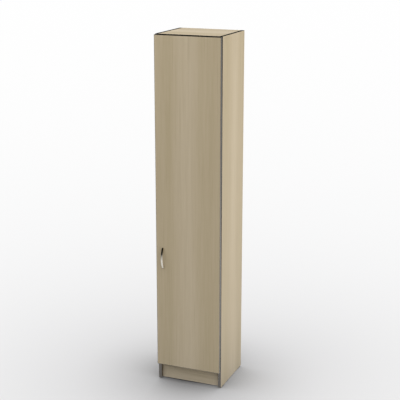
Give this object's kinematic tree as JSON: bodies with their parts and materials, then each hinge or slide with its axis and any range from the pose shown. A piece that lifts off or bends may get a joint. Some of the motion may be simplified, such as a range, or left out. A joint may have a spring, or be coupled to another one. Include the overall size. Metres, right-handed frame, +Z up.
{
  "type": "tall cabinet",
  "caption": "Tall narrow cabinet in light grained board with one full-height door, a bow handle, inside shelves and a recessed plinth.",
  "frame": {"origin": "on the floor, under the middle of the box round the closed cabinet with its handle", "axes": "+X to the right seen from the front, +Y from the door to the back, +Z up"},
  "size_m": [0.36, 0.3524, 1.86],
  "materials": {
    "board": "melamine-faced chipboard, light ash grain, satin",
    "edge_band": "grey plastic edge band, semi-gloss",
    "hardboard": "thin fibreboard, painted to match, matt",
    "handle_metal": "die-cast zinc, nickel plated, glossy",
    "dowel_wood": "plain beech",
    "glide_plastic": "black nylon",
    "bumper": "clear soft plastic",
    "zinc": "die-cast zinc",
    "plated_steel": "nickel-plated steel"
  },
  "bodies": {
    "carcass": {"side_left": "board", "side_right": "board", "side_left_band": "edge_band", "side_right_band": "edge_band", "top_panel": "board", "top_panel_band": "edge_band", "bottom_panel": "board", "bottom_panel_band": "edge_band", "plinth": "board", "plinth_band": "edge_band", "back_panel": "hardboard", "shelf_fixed": "board", "shelf_fixed_band": "edge_band", "shelf_1": "board", "shelf_1_band": "edge_band", "shelf_2": "board", "shelf_2_band": "edge_band", "shelf_3": "board", "shelf_3_band": "edge_band", "shelf_pins": "plated_steel", "cam_locks": "zinc", "cam_bolts": "plated_steel", "dowels": "dowel_wood", "floor_glides": "glide_plastic", "glide_nails": "plated_steel", "hinge_arm_1": "plated_steel", "hinge_arm_2": "plated_steel", "hinge_arm_3": "plated_steel", "hinge_arm_4": "plated_steel", "hinge_plate_1": "plated_steel", "hinge_plate_2": "plated_steel", "hinge_plate_3": "plated_steel", "hinge_plate_4": "plated_steel", "hinge_plate_screws": "plated_steel", "hinge_fixing_screws": "plated_steel", "hinge_adjusting_screws": "plated_steel"},
    "door": {"door_panel": "board", "door_band": "edge_band", "door_handle": "handle_metal", "handle_screws": "plated_steel", "door_bumpers": "bumper", "hinge_cup_1": "plated_steel", "hinge_cup_2": "plated_steel", "hinge_cup_3": "plated_steel", "hinge_cup_4": "plated_steel", "hinge_pins": "plated_steel", "hinge_cup_screws": "plated_steel"}
  },
  "joints": [
    {"name": "door_hinge", "type": "hinge", "parent": "carcass", "child": "door", "pos_m": [0.17147, -0.14575, 0.975], "axis": [0, 0, 1], "range_deg": [0, 100]}
  ]
}
